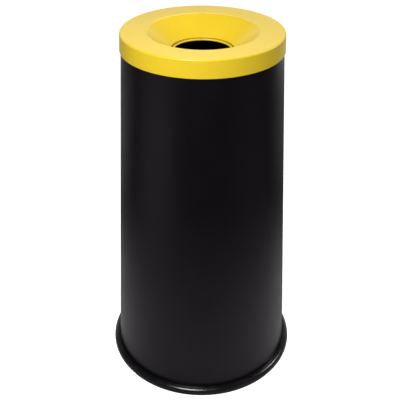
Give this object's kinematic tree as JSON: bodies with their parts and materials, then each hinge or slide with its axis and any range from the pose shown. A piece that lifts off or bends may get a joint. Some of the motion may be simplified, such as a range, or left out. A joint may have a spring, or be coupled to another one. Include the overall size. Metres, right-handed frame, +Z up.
{
  "type": "oily waste can",
  "caption": "Free-standing round steel waste can with a lift-off flame-smothering funnel head, a fixed throat and a rubber base ring.",
  "frame": {"origin": "middle of the resting face, on the can's axis at floor level", "axes": "+Z up along the can's axis, -Y towards the front, +Y towards the drum's lap seam"},
  "size_m": [0.3719, 0.372, 0.662],
  "materials": {
    "head_paint": "yellow powder coat, semi-gloss",
    "drum_paint": "black powder coat, satin",
    "rim_wire_steel": "drawn steel wire",
    "pan_paint": "black powder coat, satin",
    "ring_rubber": "glossy black extruded rubber",
    "bag_ring_steel": "bright zinc-plated wire",
    "bracket_paint": "black powder coat, satin"
  },
  "bodies": {
    "can_body": {"drum_shell": "drum_paint", "rim_wire": "rim_wire_steel", "bottom_pan": "pan_paint", "base_ring": "ring_rubber", "bag_bracket_front": "bracket_paint", "bag_bracket_left": "bracket_paint", "bag_bracket_right": "bracket_paint"},
    "head": {"funnel_head": "head_paint"},
    "bag_hoop": {"bag_ring": "bag_ring_steel"}
  },
  "joints": [
    {"name": "head_lift", "type": "slide", "parent": "can_body", "child": "head", "axis": [0, 0, 1], "range_m": [0, 0.25]},
    {"name": "bag_ring_lift", "type": "slide", "parent": "can_body", "child": "bag_hoop", "axis": [0, 0, 1], "range_m": [0, 0.04]}
  ]
}
